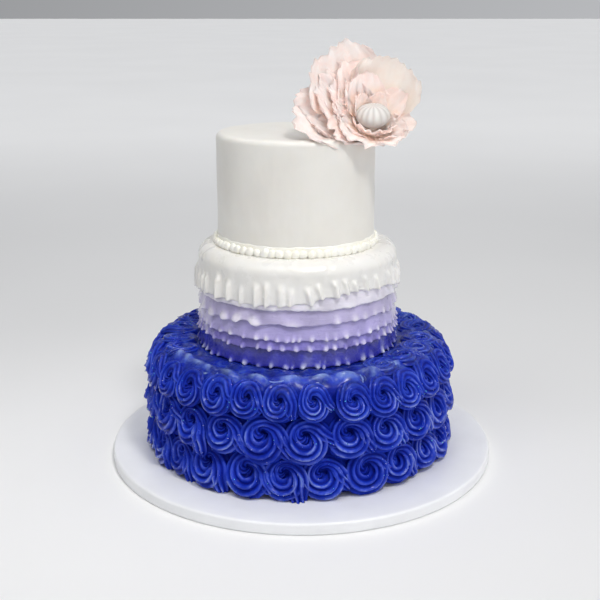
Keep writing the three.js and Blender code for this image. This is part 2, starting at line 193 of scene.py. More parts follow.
class Look:
    """A node material with its Principled shader, and short calls for the nodes that feed it."""

    def __init__(self, name, **constants):
        self.m = bpy.data.materials.new(name)
        self.m.use_nodes = True
        self.t = self.m.node_tree
        self.shader = self.t.nodes["Principled BSDF"]
        self.at = self.t.nodes.new("ShaderNodeTexCoord").outputs["Object"]
        for k, v in constants.items():
            self.shader.inputs[k.replace("_", " ")].default_value = v

    def link(self, out, to):
        self.t.links.new(out, to)

    def noise(self, scale, detail=2.0, rough=0.5, distortion=0.0, vector=None):
        n = self.t.nodes.new("ShaderNodeTexNoise")
        n.inputs["Scale"].default_value = scale
        n.inputs["Detail"].default_value = detail
        n.inputs["Roughness"].default_value = rough
        n.inputs["Distortion"].default_value = distortion
        self.link(vector or self.at, n.inputs["Vector"])
        return n.outputs["Fac"]

    def cells(self, scale, feature="F1"):
        n = self.t.nodes.new("ShaderNodeTexVoronoi")
        n.feature = feature
        n.inputs["Scale"].default_value = scale
        self.link(self.at, n.inputs["Vector"])
        return n.outputs["Distance"]

    def stretch(self, x, y, z):
        n = self.t.nodes.new("ShaderNodeMapping")
        n.inputs["Scale"].default_value = (x, y, z)
        self.link(self.at, n.inputs["Vector"])
        return n.outputs["Vector"]

    def value(self, name):
        n = self.t.nodes.new("ShaderNodeAttribute")
        n.attribute_name = name
        return n.outputs["Fac"]

    def ramp(self, source, *stops):
        n = self.t.nodes.new("ShaderNodeValToRGB")
        e = n.color_ramp.elements
        while len(e) < len(stops):
            e.new(0.5)
        for k, (pos, color) in enumerate(stops):
            e[k].position = pos
            e[k].color = color if isinstance(color, tuple) else (color, color, color, 1)
        self.link(source, n.inputs["Fac"])
        return n.outputs["Color"]

    def blend(self, fac, a, b, mode="MIX"):
        n = self.t.nodes.new("ShaderNodeMix")
        n.data_type = "RGBA"
        n.blend_type = mode
        for key, x in (("Factor", fac), ("A", a), ("B", b)):
            socket = next(s for s in n.inputs if s.name == key and s.enabled and (key == "Factor") == (s.type == "VALUE"))
            if isinstance(x, (tuple, float, int)):
                socket.default_value = x
            else:
                self.link(x, socket)
        return next(s for s in n.outputs if s.type == "RGBA")

    def math(self, op, a, b=None):
        n = self.t.nodes.new("ShaderNodeMath")
        n.operation = op
        for k, x in enumerate((a, b)):
            if x is None:
                continue
            if isinstance(x, (float, int)):
                n.inputs[k].default_value = x
            else:
                self.link(x, n.inputs[k])
        return n.outputs[0]

    def bump(self, source, distance, strength=1.0, under=None):
        n = self.t.nodes.new("ShaderNodeBump")
        n.inputs["Distance"].default_value = distance
        n.inputs["Strength"].default_value = strength
        self.link(source, n.inputs["Height"])
        if under is not None:
            self.link(under, n.inputs["Normal"])
        return n.outputs["Normal"]

    def set(self, color=None, rough=None, normal=None):
        if color is not None:
            self.link(color, self.shader.inputs["Base Color"])
        if rough is not None:
            self.link(rough, self.shader.inputs["Roughness"])
        if normal is not None:
            self.link(normal, self.shader.inputs["Normal"])
        return self.m


def buttercream():
    k = Look("blue_buttercream", Coat_Roughness=0.18, Specular_IOR_Level=0.2, Coat_Weight=0.3, Subsurface_Weight=0.05, Subsurface_Scale=0.003)
    k.shader.inputs["Subsurface Radius"].default_value = (0.2, 0.3, 1.0)
    # painted highlights and shade: this ramp paints the ridge tops pale blue-white as highlights and darkens the
    # grooves and hollow middles as shade
    lit = k.math("MULTIPLY", k.value("crest"), k.ramp(k.noise(58, 3, 0.6, 0.5), (0.4, 0.55), (0.62, 1.0)))
    crest = k.ramp(lit, (0.0, srgb(12, 24, 128)), (0.3, srgb(25, 50, 175)), (0.7, srgb(49, 78, 207)), (1.0, srgb(120, 144, 228)))
    patches = k.ramp(k.noise(34, 3), (0.36, srgb(186, 196, 226)), (0.62, (1, 1, 1, 1)))
    color = k.blend(0.8, crest, patches, "MULTIPLY")
    # the ledge is smeared, with paler streaks
    streak = k.ramp(k.noise(80, 4, 0.6, 1.2), (0.46, 0.0), (0.68, 1.0))
    color = k.blend(k.math("MULTIPLY", streak, k.math("MULTIPLY", k.value("haze"), 0.65)), color, srgb(80, 108, 178))
    dark = k.ramp(k.noise(48, 3, 0.6, 0.6, k.stretch(1.3, 1, 1)), (0.35, 1.0), (0.6, 0.0))
    color = k.blend(k.math("MULTIPLY", dark, k.math("MULTIPLY", k.value("haze"), 0.75)), color, srgb(10, 22, 88))
    # painted glints: pale blue-white highlights on the tops of the ledge's mounds
    painted_glint = k.math("MULTIPLY", k.ramp(k.value("crest"), (0.55, 0.0), (1.0, 0.85)), k.ramp(k.noise(150, 3, 0.6), (0.35, 0.3), (0.6, 1.0)))
    color = k.blend(k.math("MULTIPLY", painted_glint, k.ramp(k.value("haze"), (0.85, 0.0), (1.0, 1.0))), color, srgb(152, 177, 219))
    rough = k.math("ADD", k.ramp(k.noise(120, 3), (0.3, 0.13), (0.7, 0.27)), k.math("MULTIPLY", k.value("haze"), 0.1))
    # the grooves are matt and the crests shine, the smeared ledge most of all
    shine = k.math("MAXIMUM", k.ramp(lit, (0.4, 0.0), (1.0, 0.95)), k.math("MULTIPLY", k.value("haze"), 0.34))
    k.link(k.math("ADD", k.math("MULTIPLY", shine, 0.5), 0.02), k.shader.inputs["Specular IOR Level"])
    k.link(shine, k.shader.inputs["Coat Weight"])
    fine = k.bump(k.noise(1900, 3, 0.6), 0.0001, 0.3)
    return k.set(color, rough, k.bump(k.noise(300, 2, 0.5), 0.00025, 0.3, fine))


def strip_icing(name, dark, body, light, rough_low, rough_high):
    k = Look(name, Specular_IOR_Level=0.5, Coat_Weight=0.9, Coat_Roughness=0.1, Subsurface_Weight=0.1, Subsurface_Scale=0.002)
    k.shader.inputs["Subsurface Radius"].default_value = (0.6, 0.45, 1.0)
    # painted light: the light colour is a painted highlight on the pinched folds and the dark colour a painted shade
    # where a strip lies under the next
    fold = k.ramp(k.value("crest"), (0.0, dark), (0.5, body), (1.0, light))
    patches = k.ramp(k.noise(45, 3), (0.35, 0.86), (0.65, 1.0))
    color = k.blend(1.0, fold, patches, "MULTIPLY")
    rough = k.ramp(k.noise(210, 2), (0.3, rough_low), (0.7, rough_high))
    wipes = k.bump(k.noise(90, 3, 0.5, 0.4, k.stretch(1, 1, 5)), 0.0006, 0.6)
    return k.set(color, rough, k.bump(k.noise(1500, 2), 0.0001, 0.5, wipes))


def fondant():
    k = Look("white_fondant", Specular_IOR_Level=0.42, Subsurface_Weight=0.18, Subsurface_Scale=0.004,
             Sheen_Weight=0.08, Sheen_Roughness=0.5)
    k.shader.inputs["Subsurface Radius"].default_value = (1.0, 0.85, 0.65)
    color = k.ramp(k.noise(16, 3), (0.35, srgb(234, 231, 224)), (0.65, srgb(240, 238, 232)))
    rough = k.ramp(k.noise(60, 3), (0.3, 0.34), (0.7, 0.5))
    fine = k.bump(k.noise(2400, 2), 0.00006, 0.5)
    return k.set(color, rough, k.bump(k.noise(70, 3, 0.5, 0.0, k.stretch(1, 1, 0.5)), 0.0005, 0.5, fine))


def sheet_icing():
    k = Look("sheet_fondant", Specular_IOR_Level=0.5, Subsurface_Weight=0.12, Subsurface_Scale=0.003, Coat_Weight=0.5, Coat_Roughness=0.3)
    k.shader.inputs["Subsurface Radius"].default_value = (1.0, 0.85, 0.65)
    color = k.ramp(k.noise(22, 3), (0.35, srgb(239, 237, 231)), (0.65, srgb(245, 243, 239)))
    rough = k.ramp(k.noise(60, 3), (0.3, 0.22), (0.7, 0.36))
    fine = k.bump(k.noise(1800, 2), 0.00006, 0.5)
    return k.set(color, rough, k.bump(k.noise(120, 3), 0.0004, 0.5, fine))


def ivory():
    k = Look("ivory_icing", Specular_IOR_Level=0.5, Subsurface_Weight=0.1, Subsurface_Scale=0.003, Coat_Weight=0.2, Coat_Roughness=0.25)
    k.shader.inputs["Subsurface Radius"].default_value = (1.0, 0.85, 0.5)
    color = k.ramp(k.noise(60, 3), (0.35, srgb(255, 252, 239)), (0.65, srgb(255, 254, 246)))
    rough = k.ramp(k.noise(300, 2), (0.3, 0.25), (0.7, 0.42))
    return k.set(color, rough, k.bump(k.noise(900, 2), 0.00012, 0.5))


def sugar():
    k = Look("blush_sugar", Specular_IOR_Level=0.35, Subsurface_Weight=0.6, Subsurface_Scale=0.006, Sheen_Weight=0.1, Sheen_Roughness=0.4)
    k.shader.inputs["Subsurface Radius"].default_value = (1.0, 0.78, 0.7)
    # foot of the petal coral, its middle pale blush, its lip a cooler pink white; the lightest tint right at the lip is
    # a painted highlight
    tint = k.ramp(k.value("tint"), (0.0, srgb(254, 219, 202)), (0.3, srgb(254, 229, 215)), (0.75, srgb(253, 231, 219)), (1.0, srgb(254, 234, 228)))
    blot = k.ramp(k.noise(75, 3, 0.6), (0.38, srgb(255, 240, 236)), (0.6, (1, 1, 1, 1)))
    color = k.blend(0.8, tint, blot, "MULTIPLY")
    color = k.blend(k.value("ivory"), color, srgb(236, 227, 215))
    rough = k.ramp(k.noise(240, 2), (0.3, 0.38), (0.7, 0.55))
    veins = k.bump(k.value("vein"), 0.0003, 0.6)
    return k.set(color, rough, k.bump(k.noise(700, 3), 0.00018, 0.5, veins))


def pearl():
    k = Look("pearl_sugar", Specular_IOR_Level=0.35, Coat_Weight=0.05, Coat_Roughness=0.4, Subsurface_Weight=0.1, Subsurface_Scale=0.003,
             Sheen_Weight=0.2, Sheen_Roughness=0.3)
    # painted light: the flutes get a lighter painted highlight, the furrows and the bud's lower part painted shade
    color = k.ramp(k.value("crest"), (0.0, srgb(188, 185, 179)), (0.6, srgb(198, 195, 191)), (1.0, srgb(214, 212, 208)))
    rough = k.ramp(k.noise(300, 2), (0.3, 0.42), (0.7, 0.55))
    return k.set(color, rough, k.bump(k.noise(900, 2), 0.0001, 0.5))


def board_wrap():
    k = Look("board_wrap", Specular_IOR_Level=0.5, Coat_Weight=0.1, Coat_Roughness=0.3)
    color = k.ramp(k.noise(26, 3), (0.3, srgb(240, 241, 243)), (0.7, srgb(245, 246, 248)))
    rough = k.ramp(k.noise(90, 3), (0.3, 0.3), (0.7, 0.45))
    grain = k.bump(k.cells(420), 0.00014, 0.4)
    return k.set(color, rough, k.bump(k.noise(35, 2), 0.0009, 0.35, grain))


def glitter(name, color, tint):
    k = Look(name, Metallic=0.75, Specular_IOR_Level=0.8)
    return k.set(k.ramp(k.noise(500, 1), (0.3, color), (0.7, tint)), k.ramp(k.noise(800, 1), (0.3, 0.15), (0.7, 0.35)))


LOOKS = {
    "blue_buttercream": buttercream(),
    # each strip's first colour is its painted shade and its third a painted highlight on the folds
    "indigo_icing": strip_icing("indigo_icing", srgb(40, 40, 124), srgb(65, 66, 192), srgb(228, 232, 252), 0.2, 0.36),
    "purple_icing": strip_icing("purple_icing", srgb(98, 90, 164), srgb(143, 133, 216), srgb(238, 233, 252), 0.22, 0.38),
    "lavender_icing": strip_icing("lavender_icing", srgb(152, 144, 198), srgb(194, 184, 238), srgb(246, 242, 255), 0.24, 0.4),
    "lilac_icing": strip_icing("lilac_icing", srgb(160, 152, 194), srgb(200, 191, 230), srgb(238, 233, 250), 0.24, 0.4),
    "pale_lilac_icing": strip_icing("pale_lilac_icing", srgb(206, 201, 218), srgb(240, 236, 248), srgb(250, 248, 253), 0.26, 0.42),
    "white_fondant": fondant(),
    "ivory_icing": ivory(),
    "blush_sugar": sugar(),
    "pearl_sugar": pearl(),
    "board_wrap": board_wrap(),
}


def finish_piece(obj, slot, *nodes, look=None):
    obj.data.materials.clear()
    obj.data.materials.append(look or LOOKS[slot])
    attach(obj, "root")
    if nodes:
        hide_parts(*nodes)
    return obj


# ---------------------------------------------------------------- camera
cam = bpy.data.cameras.new("photo_view")
cam.sensor_width = 36.0
cam.lens = 1034.54 / 600 * 36
cam.clip_end = 100
camera = bpy.data.objects.new("photo_view", cam)
camera.location = (-0.00134, -1.04872, 0.47577)
camera.rotation_euler = (PI / 2 - 0.288, 0, 0)
bpy.context.scene.collection.objects.link(camera)
bpy.context.scene.camera = camera

# ---------------------------------------------------------------- board
a = turn(256)
edge = [(BOARD_R - 2.2 + 2.2 * math.sin(t), 2.2 - 2.2 * math.cos(t)) for t in np.linspace(0, PI / 2, 5)]
rim = [(BOARD_R - 2.4 + 2.4 * math.cos(t), BOARD_T - 2.4 + 2.4 * math.sin(t)) for t in np.linspace(0, PI / 2, 6)]
profile = [(190, 0), *edge, *rim, (196, BOARD_T), (188, BOARD_T), (178, BOARD_T), (160, BOARD_T), (130, BOARD_T)]
r = np.array([p[0] for p in profile])[None, :] + 0 * a[:, None]
z = np.array([p[1] for p in profile])[None, :] + 0 * a[:, None]
folds = round_wobble(a, 3, 30, 110, 16)
on_rim = np.array([0, 0, 0.2, 0.6, 1, 1, 1, 1, 1, 0.8, 0.5, 0.3, 0.1, 0.03, 0, 0, 0])[None, : r.shape[1]]
r = r - 0.3 * on_rim * (0.5 + 0.5 * folds)[:, None]
z = z - 0.12 * on_rim * (z > 6) * (0.5 + 0.5 * folds)[:, None]
finish_piece(lathe_mesh("board_drum", r, z, a, 0), "board_wrap", "board")

# ---------------------------------------------------------------- bottom tier: the icing coat
WALL_S = LOW_H - LOW_FILLET
EDGE_S = WALL_S + LOW_FILLET * PI / 2
LEDGE_END = EDGE_S + (LOW_WALL_R - LOW_FILLET - LOW_SEAT_R) - 1


def wall_at(s):
    """The tier's wall, rounded edge and ledge, at distance s from the board."""
    t = np.clip((s - WALL_S) / LOW_FILLET, 0, PI / 2)
    r = LOW_WALL_R - LOW_FILLET * (1 - np.cos(t)) - np.maximum(s - EDGE_S, 0)
    z = np.minimum(s, WALL_S) + LOW_FILLET * np.sin(t)
    return r, z, np.cos(t), np.sin(t)


def on_tier(a, s, h):
    r, z, nr, nz = wall_at(s)
    r, z = r + nr * h, z + nz * h
    return np.stack([r * np.sin(a) + LOW_X, -r * np.cos(a), BOARD_T + z], -1)


a = turn(300)
s = np.concatenate([np.linspace(0, WALL_S, 34), np.linspace(WALL_S, EDGE_S, 7)[1:], np.linspace(EDGE_S, LEDGE_END, 14)[1:]])
A, S = np.meshgrid(a, s, indexing="ij")
x, y = np.sin(A) * 3.3, S / 45 + np.cos(A) * 3.3
h = -2.5 + 4.1 * smooth(1, 16, S) + 0.5 * wobble(x, y, 11) + 0.5 * np.sin(S / 3.1 + 2 * wobble(x, y, 12)) * smooth(WALL_S, EDGE_S, S)
away = wall_at(S)[0]
h = h + (1.9 + 1.7 * wobble(away * np.sin(A) / 34, away * np.cos(A) / 34, 14, 2)) * smooth(EDGE_S - 6, EDGE_S + 6, S) * smooth(LEDGE_END, LEDGE_END - 6, S)
g = np.random.default_rng(15)
dollops = np.zeros_like(h)
for da in [-62, -54, -46.5, -38.5, -29, -16.5, -3, 9, 19, 31, 43, 52, 63] + list(np.arange(74, 290, 10.5) + g.uniform(-2, 2, 21)):
    ds, tall = 119 + g.uniform(-2, 3), g.uniform(3.4, 5.2)
    away = ((np.degrees(A) - da + 180) % 360 - 180) * 2.45
    dollops = np.maximum(dollops, tall * np.exp(-((np.abs(away + 0.5 * (S - ds)) / g.uniform(9, 13)) ** 2.6) - ((S - ds) / g.uniform(5.5, 7.5)) ** 2))
h = h + dollops * mix(0.3, 1.0, smooth(70, 40, np.abs((np.degrees(A) + 12 + 180) % 360 - 180)))
pts = on_tier(A, S, h)
r = np.hypot(pts[..., 0] - LOW_X, pts[..., 1])
z = pts[..., 2]
r = np.hstack([np.full((300, 1), 90.0), r, np.full((300, 2), 1.0) * [104.0, 80.0]])
z = np.hstack([np.full((300, 1), BOARD_T), z, np.full((300, 2), MID_Z + 1.2) + 0 * r[:, :2]])
z[:, 1] = BOARD_T
# painted light on the coat: the value rises on the rounded edge and ledge for a painted sheen, and on the mounds' tops
# for painted glints
crest = np.hstack([np.zeros((300, 1)), 0.16 + 0.4 * smooth(WALL_S, EDGE_S, S) * (0.6 + 0.4 * wobble(x * 2, y * 2, 13)), np.full((300, 2), 0.3)])
haze = np.hstack([np.zeros((300, 1)), smooth(WALL_S, EDGE_S, S), np.full((300, 2), 0.5)])
crest[:, 1:-2] += 0.1 * dollops
coat = finish_piece(lathe_mesh("bottom_tier_coat", r, z, a, LOW_X, {"crest": np.clip(crest, 0, 1), "haze": haze}), "blue_buttercream", "bottom_tier")

# ---------------------------------------------------------------- bottom tier: the rosettes
ROWS = [
    {"name": "rosettes_low", "n": 25, "phase": -4.7, "s": 27.5, "R": 25.0, "lift": 0.0, "tall": 1.0, "depth": 0.32, "twist": 0.27, "haze": 0.05, "hang": 0.28, "tip": 0.16, "tail": 1.0, "n1": 46, "n2": 9, "per": 5},
    {"name": "rosettes_ledge", "n": 24, "phase": 7.5, "s": 130.0, "R": 20.5, "lift": 0.4, "tall": 0.8, "depth": 0.26, "twist": 0.24, "haze": 0.35, "hang": 0.0, "tip": 0.08, "tail": 0.65, "n1": 32, "n2": 6, "per": 4},
    {"name": "rosettes_middle", "n": 24, "phase": 2.8, "s": 67.0, "R": 24.4, "lift": 1.6, "tall": 1.0, "depth": 0.32, "twist": 0.27, "haze": 0.05, "hang": 0.28, "tip": 0.16, "tail": 1.0, "n1": 46, "n2": 9, "per": 5},
    {"name": "rosettes_upper", "n": 29, "phase": -6.2, "s": 100.5, "R": 19.0, "lift": 2.2, "tall": 1.0, "depth": 0.32, "twist": 0.27, "haze": 0.12, "veil": 0.7, "hang": 0.22, "tip": 0.34, "tail": 0.62, "n1": 46, "n2": 9, "per": 5},
]
RIDGE_N = 10


def rosette(q, row, seed):
    """One piped rosette: a ridged rope that winds out clockwise from its middle, goes once round it, and trails off downwards at its right."""
    g = np.random.default_rng(seed)
    R, end = q["R"], q["end"]
    n1, n2 = row["n1"], row["n2"]
    last = 1.86 * 2 * PI
    phi = np.linspace(0.25, last, n1)
    rho = 0.585 * R * (1 - np.exp(-phi / 2.5)) * (1 + 0.03 * np.sin(phi * 1.3 + g.uniform(0, 6)))
    ang = end + 0.95 + last - phi
    low = -np.sin(ang) * smooth(0.5, 5, phi)
    P = np.stack([rho * np.cos(ang), rho * np.sin(ang)], 1) * (1 + row["hang"] * low)[:, None]
    step = P[-1] - P[-2]
    heading = math.atan2(step[1], step[0])
    length = R * row["tail"] * g.uniform(0.8, 1.15) / n2
    tail = []
    at = P[-1].copy()
    for k in range(n2):
        heading += g.uniform(0.0, 0.05)
        at = at + length * np.array([math.cos(heading), math.sin(heading)])
        tail.append(at.copy())
    P = np.vstack([P, tail])
    n = n1 + n2
    phi = np.concatenate([phi, last + np.arange(1, n2 + 1) * length / (0.58 * R)])
    T = np.gradient(P, axis=0)
    T /= np.linalg.norm(T, axis=1)[:, None]
    E = np.stack([-T[:, 1], T[:, 0]], 1)
    past = np.clip((np.arange(n) - n1 + 1) / n2, 0, 1)
    w = R * (0.15 + 0.275 * (1 - np.exp(-phi / 2.1))) * (1 - 0.2 * smooth(0, 0.7, past))
    w = w * (1 + 0.95 * row["hang"] * np.concatenate([low, np.full(n2, low[-1])]))
    w = w * (1 + 0.045 * np.sin(phi * 2.1 + g.uniform(0, 6)) + 0.03 * np.sin(phi * 4.7 + g.uniform(0, 6)))
    P = P + E * (0.1 * R * smooth(0, 0.8, past))[:, None]
    caps = np.ones(n)
    caps[:2] = [0.55, 0.87]
    caps[-3:] = [0.9, 0.7, 0.35]
    shift = -row["twist"] * (phi - 0.6 * last) + 2 * math.sin(seed * 1.7) + 0.06 * np.sin(phi * 1.7 + seed)
    m = RIDGE_N * row["per"]
    k = np.arange(m) / m * 2 * PI
    theta = k[None, :] + shift[:, None]
    c = ((1 + np.cos(RIDGE_N * k)) / 2) ** 0.85
    # the ridges differ a little in height
    uneven = 1 + 0.25 * np.sin(k * 3 + seed)[None, :] * np.sin(phi * 0.8 + seed)[:, None]
    deep = mix(0.5, 1.05, smooth(-0.9, 0.5, np.append(low, np.full(n2, low[-1]))))
    gfac = 1 - row["depth"] * uneven * (1 - c)[None, :] * deep[:, None]
    x = (w * caps)[:, None] * gfac * np.cos(theta)
    up = (w * caps)[:, None] * gfac * np.sin(theta)
    u = P[:, :1] + E[:, :1] * x
    v = P[:, 1:] + E[:, 1:] * x
    base = q["lift"] + 0.085 * row["tail"] * P[:, 0] - row["tip"] * P[:, 1] + 0.6 * np.sin(phi * 1.1 + g.uniform(0, 6)) - 0.6 * past**2
    height = base[:, None] + np.where(up > 0, 1.12 * row["tall"] * up, 0.5 * up)
    height = np.maximum(height, -1.5)
    s = np.maximum(q["s"] + v, 0.3)
    ra, rq = wall_at(s)[0], wall_at(q["s"])[0]
    A = q["a"] + u / (0.5 * (ra + rq) + 6)
    pts = on_tier(A, s, height).reshape(-1, 3)
    ends = [on_tier(q["a"] + P[i, 0] / (rq + 6), max(q["s"] + P[i, 1], 0.4), base[i] + 0.3 * w[i]) for i in (0, -1)]
    pts = np.vstack([pts, ends])
    j = np.arange(m)
    j1 = (j + 1) % m
    tris = np.vstack([
        np.stack([np.full(m, n * m), j1, j], 1),
        np.stack([np.full(m, n * m + 1), (n - 1) * m + j, (n - 1) * m + j1], 1),
    ])
    # painted light for the colour ramp: high on the ridge tops of the rope's outer face as painted highlights; low in
    # the grooves, at the rope's foot, in the recessed middle and over the rosette's upper half as painted shade
    crest = np.clip(c[None, :] * (0.35 + 0.65 * smooth(0.0, 1.0, np.sin(theta))) * (0.6 + 0.4 * smooth(2.0, 6.0, phi))[:, None] * (0.45 + 0.55 * deep)[:, None], 0, 1)
    veil = row["haze"] + row.get("veil", 0.0) * smooth(2, 19, v)
    at = {"crest": np.append(crest.ravel(), [0.1, 0.4]), "haze": np.append(veil.ravel(), [row["haze"]] * 2)}
    return pts, sheet_faces(n, m, False, True), tris, at


glitter_spots = []
for j, row in enumerate(ROWS):
    parts = []
    for i in range(row["n"]):
        q = {
            "a": rad(row["phase"] + (360 / row["n"]) * (i + 0.14 * (chance(i, j) - 0.5) + 0.14 * (chance(i, j + 60) - 0.5))),
            "s": row["s"] + 3 * (chance(i, j + 10) - 0.5) + 1.5 * (chance(i, j + 70) - 0.5),
            "R": row["R"] * (1 + 0.1 * (chance(i, j + 20) - 0.5) + 0.1 * (chance(i, j + 80) - 0.5)),
            "end": rad(-62 + 60 * (chance(i, j + 30) - 0.5)),
            "lift": row["lift"] + 0.8 * (chance(i, j + 40) - 0.5),
        }
        look = dict(row)
        if row["name"] == "rosettes_ledge":
            smear = smooth(62, 34, abs((math.degrees(q["a"]) + 12 + 180) % 360 - 180))
            look.update(tall=mix(0.8, 0.5, smear), depth=mix(0.26, 0.03, smear), haze=mix(0.6, 1.0, smear))
            q["lift"] -= 2.8 * smear
        parts.append(rosette(q, look, 100 * j + i + 1))
    verts, quads, tris, at = joined(parts)
    obj = make(row["name"], verts, quads, tris, at)
    finish_piece(obj, "blue_buttercream", "bottom_tier")
    glitter_spots.append((obj, at["crest"]))


# ---------------------------------------------------------------- glitter on the rosettes
def flakes(name, count, seed, low, high):
    g = np.random.default_rng(seed)
    parts = []
    for obj, crest in glitter_spots:
        me = obj.data
        co = np.empty(len(me.vertices) * 3)
        me.vertices.foreach_get("co", co)
        no = np.empty(len(me.vertices) * 3)
        me.vertex_normals.foreach_get("vector", no)
        co, no = co.reshape(-1, 3) * 1000, no.reshape(-1, 3)
        good = np.flatnonzero(crest > 0.6)
        for i in g.choice(good, count // len(glitter_spots), replace=False):
            size = g.uniform(low, high)
            n = no[i] + g.normal(0, 0.35, 3)
            n /= np.linalg.norm(n)
            e = np.cross(n, g.normal(0, 1, 3))
            e /= np.linalg.norm(e)
            f = np.cross(n, e)
            k = np.arange(5) / 5 * 2 * PI + g.uniform(0, 6)
            disc = size * (np.cos(k)[:, None] * e + np.sin(k)[:, None] * f * 0.8)
            v = np.vstack([co[i] + disc - 0.03 * n + 0.1 * no[i], co[i] + disc + 0.06 * n + 0.1 * no[i]])
            c = np.arange(5)
            d = (c + 1) % 5
            quads = np.stack([c, d, d + 5, c + 5], 1)
            tris = [[0, 2, 1], [0, 3, 2], [0, 4, 3], [5, 6, 7], [5, 7, 8], [5, 8, 9]]
            parts.append((v, quads, tris, {}))
    verts, quads, tris, _ = joined(parts)
    return make(name, verts, quads, tris, flat=True)


finish_piece(flakes("glitter_silver", 800, 21, 0.2, 0.44), "blue_buttercream", look=glitter("glitter_silver", srgb(235, 240, 255), srgb(200, 220, 255)))
finish_piece(flakes("glitter_turquoise", 440, 22, 0.34, 0.68), "blue_buttercream", look=glitter("glitter_turquoise", srgb(90, 220, 235), srgb(120, 240, 225)))
finish_piece(flakes("glitter_pink", 140, 23, 0.16, 0.34), "blue_buttercream", look=glitter("glitter_pink", srgb(235, 170, 220), srgb(250, 200, 235)))


# ---------------------------------------------------------------- middle tier: the frilled strips
def spread(front, first, last, low, high, seed):
    """Angles in degrees: those seen at the front, and uneven steps round the back from first to last."""
    g = np.random.default_rng(seed)
    out = list(front)
    at = first
    while at < last:
        out.append(at)
        at += g.uniform(low, high)
    return out


def bumps(a, places, widths, heights, lean=0.0):
    """Rounded ridges at the given angles (degrees); a may have any shape."""
    total = np.zeros(np.broadcast(a, np.asarray(lean, dtype=float) if np.ndim(lean) else a).shape)
    for p, w, hgt in zip(places, widths, heights):
        d = (np.degrees(a) - p + 180) % 360 - 180
        total = np.maximum(total, hgt * np.exp(-(np.abs(d / w) ** 2.5)))
    return total


def strip(name, hem, top, nc, places, width, push, reach, seed, slot, node, long_wave=0.5, soft=(), drop=0.5):
    """One strip: it lies flat where it goes in under the next and stands out at a hem with small pinched folds."""
    g = np.random.default_rng(seed)
    a = turn(nc)
    heights = g.uniform(0.55, 1.15, len(places)) * push
    widths = width * g.uniform(0.75, 1.3, len(places))
    fold = bumps(a, places, widths, heights)
    if soft:
        fold = np.maximum(fold, bumps(a, [p for p, *_ in soft], [w for _, w, _ in soft], [x for *_, x in soft]))
    wave = round_wobble(a, seed + 1, 5, 26)
    hem_z = hem + long_wave * wave + 0.25 * round_wobble(a, seed + 2, 50, 130) - drop * fold / max(push, 0.1)
    stand = 0.5 * round_wobble(a, seed + 3, 6, 30)
    v = np.array([0.0, 0.035, 0.09, 0.17, 0.27, 0.4, 0.55, 0.72, 0.88, 1.0])
    face = STRIP_IN + 1.3 + (3.0 + stand[:, None]) * (1 - v[None, :]) ** 1.25
    along = (top - hem) * v
    face = face + fold[:, None] * np.exp(-((along / reach) ** 2))[None, :]
    # the hem is a rolled edge about 2 mm thick
    roll = np.array([-0.9, -0.25, 0.0] + [0] * 7)
    face = face + roll[None, :]
    zf = hem_z[:, None] + (top - hem_z[:, None]) * v[None, :]
    lip = face[:, :1]
    inner_r = np.hstack([lip - 1.1, lip - 1.7, lip - 1.8, 0 * lip + STRIP_IN, 0 * lip + STRIP_IN])
    inner_z = np.hstack([zf[:, :1] + 0.05, zf[:, :1] + 0.8, zf[:, :1] + 2.0, 0 * lip + hem + 4.0, 0 * lip + top])
    r = np.hstack([face, inner_r[:, ::-1]])
    z = np.hstack([zf, inner_z[:, ::-1]])
    # painted light: high at the pinched folds of the hem as a painted highlight, lower near the top, where the strip
    # goes in under the next one, as painted shade
    shine = np.clip(0.42 + 0.55 * fold[:, None] / max(push, 0.1) * np.exp(-((along / reach) ** 2))[None, :] + 0.1 * wave[:, None] - 0.18 * (v > 0.8), 0, 1)
    crest = np.hstack([shine, np.full((nc, 5), 0.0)])
    return finish_piece(ring_mesh(name, r, z, a, MID_X, {"crest": crest}), slot, node)


indigo = spread([-62.2, -55.5, -49.8, -39.0, -30.0, -21.5, -14.3, -6.0, -2.8, 3.0, 11.2, 14.3, 22.5, 28.5, 39.2, 45.5, 56.2, 62.5], 69, 294, 4.0, 8.0, 31)
purple = spread([-62, -53.2, -45.0, -41.0, -31.3, -22.0, -15, -8.0, -0.8, 6.8, 15.5, 20.5, 27.0, 34.2, 39.0, 44.5, 51.5, 58.0], 64, 293, 3.6, 8.0, 32)
lavender = spread([-62, -56.2, -47.5, -39.5, -30.5, -22.5, -17, -10.8, -5.5, -2.2, 1.0, 7.8, 15.8, 21.0, 27.5, 35.5, 43.5, 51.2, 59.0], 66, 293, 3.5, 7.5, 33)
lilac = spread([22.2, 33.2, 40.2, 48.2, 56.2], 63, 285, 5.5, 10.0, 34)
pale = spread([-50, -33, -12, 8, 30, 52], 70, 295, 9, 20, 35)
strip("frill_indigo", 126.5, 146.5, 900, indigo, 1.35, 3.0, 3.9, 41, "indigo_icing", "strip_indigo", 0.45, drop=0.7)
strip("frill_purple", 144.0, 156.5, 900, purple, 1.3, 2.7, 4.3, 43, "purple_icing", "strip_purple", 0.5, drop=0.7)
strip("frill_lavender", 153.5, 172.0, 900, lavender, 1.25, 2.0, 3.8, 45, "lavender_icing", "strip_lavender", 0.5, drop=0.5)
strip("frill_lilac", 169.3, 186.5, 600, lilac, 1.5, 1.2, 6.0, 47, "lilac_icing", "strip_lilac", 0.9,
      soft=[(-66, 2.6, 3.0), (-55.8, 2.6, 3.2), (-44.5, 2.7, 3.5), (-35, 2.6, 3.2), (-23.5, 3.0, 3.3), (-2, 5, 1.0)], drop=0.5)
strip("frill_pale_lilac", 184.0, 205.0, 600, pale, 2.4, 0.6, 7.0, 49, "pale_lilac_icing", "strip_pale_lilac", 0.7, drop=0.2)

middle = frame["nodes"]["middle_tier"]
for s_ in middle.material_slots:
    s_.material = LOOKS["pale_lilac_icing"]

